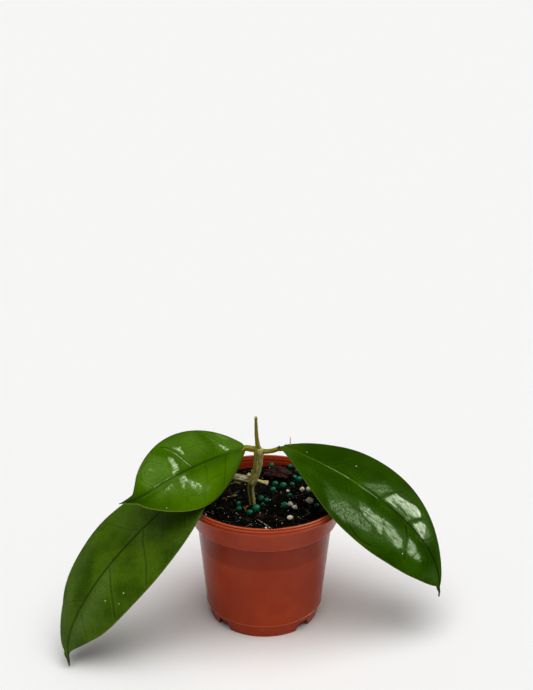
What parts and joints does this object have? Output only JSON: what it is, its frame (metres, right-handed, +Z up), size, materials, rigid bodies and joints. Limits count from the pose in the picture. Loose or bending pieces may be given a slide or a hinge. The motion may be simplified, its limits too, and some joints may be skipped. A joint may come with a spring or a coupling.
{
  "type": "potted hoya plant",
  "caption": "Young hoya cutting with three large drooping waxy leaves, woody stem and new shoot, rooted in a terracotta-coloured plastic nursery pot of dark potting mix.",
  "frame": {"origin": "middle of the underside of the whole part's bounding box, in the plane that the pot stands on", "axes": "+Z up along the pot's axis; -Y towards the viewer of the picture; +X to the viewer's right, along the spread of the leaves"},
  "size_m": [0.2394, 0.143, 0.139],
  "materials": {
    "pot_plastic": "satin, injection-moulded",
    "potting_mix": "rough, moist peat and bark fines",
    "leaf_bright": "waxy gloss",
    "leaf_dull": "waxy satin",
    "stem_woody": "ridged, dull",
    "stem_green": "smooth, satin",
    "stub_dry": "dry, dull",
    "root": "dull",
    "prill": "resin-coated, satin",
    "perlite": "chalky, porous",
    "bark": "dull, fibrous"
  },
  "bodies": {
    "root": {"pot": "pot_plastic", "potting_mix": "potting_mix", "main_stem": "stem_woody", "roots": "root", "new_shoot": "stem_green", "leaf_upper_left": "leaf_bright", "leaf_upper_right": "leaf_bright", "leaf_lower_left": "leaf_dull", "petiole_upper_left": "stem_green", "petiole_upper_right": "stem_green", "petiole_lower_left": "stem_woody", "petiole_stub": "stub_dry", "fertilizer_prill_01": "prill", "fertilizer_prill_02": "prill", "fertilizer_prill_03": "prill", "fertilizer_prill_04": "prill", "fertilizer_prill_05": "prill", "fertilizer_prill_06": "prill", "fertilizer_prill_07": "prill", "fertilizer_prill_08": "prill", "fertilizer_prill_09": "prill", "fertilizer_prill_10": "prill", "fertilizer_prill_11": "prill", "fertilizer_prill_12": "prill", "fertilizer_prill_13": "prill", "fertilizer_prill_14": "prill", "fertilizer_prill_15": "prill", "fertilizer_prill_16": "prill", "fertilizer_prill_17": "prill", "fertilizer_prill_18": "prill", "fertilizer_prill_19": "prill", "fertilizer_prill_20": "prill", "fertilizer_prill_21": "prill", "fertilizer_prill_22": "prill", "perlite_01": "perlite", "perlite_02": "perlite", "perlite_03": "perlite", "perlite_04": "perlite", "perlite_05": "perlite", "perlite_06": "perlite", "perlite_07": "perlite", "bark_chip_01": "bark", "bark_chip_02": "bark"}
  },
  "joints": []
}
